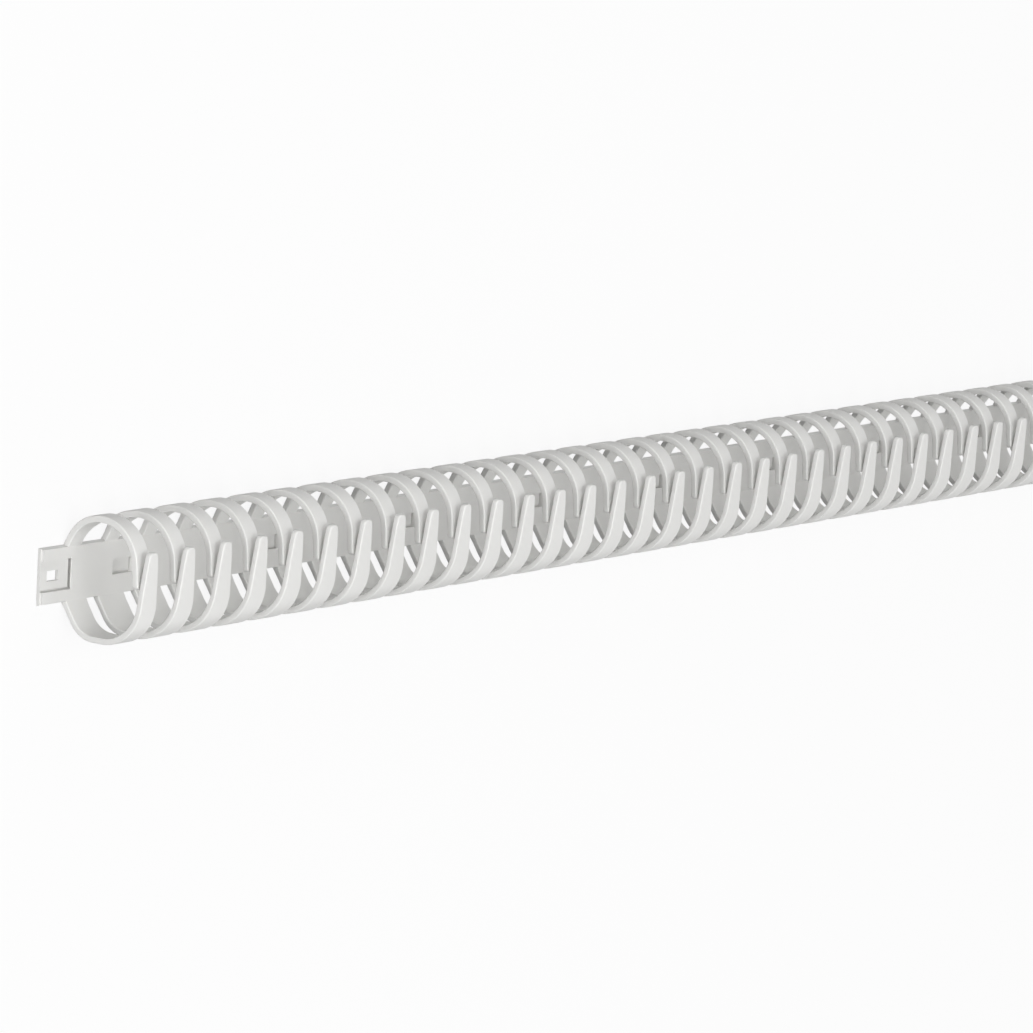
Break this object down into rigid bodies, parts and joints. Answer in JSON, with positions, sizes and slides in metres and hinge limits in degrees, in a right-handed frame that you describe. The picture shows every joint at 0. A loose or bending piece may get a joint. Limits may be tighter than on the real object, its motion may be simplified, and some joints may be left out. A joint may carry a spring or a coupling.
{
  "type": "flexible wiring duct",
  "caption": "Light grey flexible wiring duct: a flat spine with pairs of curved, lapping fingers that form an open tube, and a joining tongue at one end",
  "frame": {"origin": "middle of the overall length and width, on the back of the spine", "axes": "+X along the duct from the joining tongue to the plain end, +Y towards the inner fingers, +Z from the spine's back to the fingers' front"},
  "size_m": [0.508, 0.0272, 0.023],
  "materials": {
    "plastic": "satin moulded"
  },
  "bodies": {
    "root": {"duct": "plastic"}
  },
  "joints": []
}
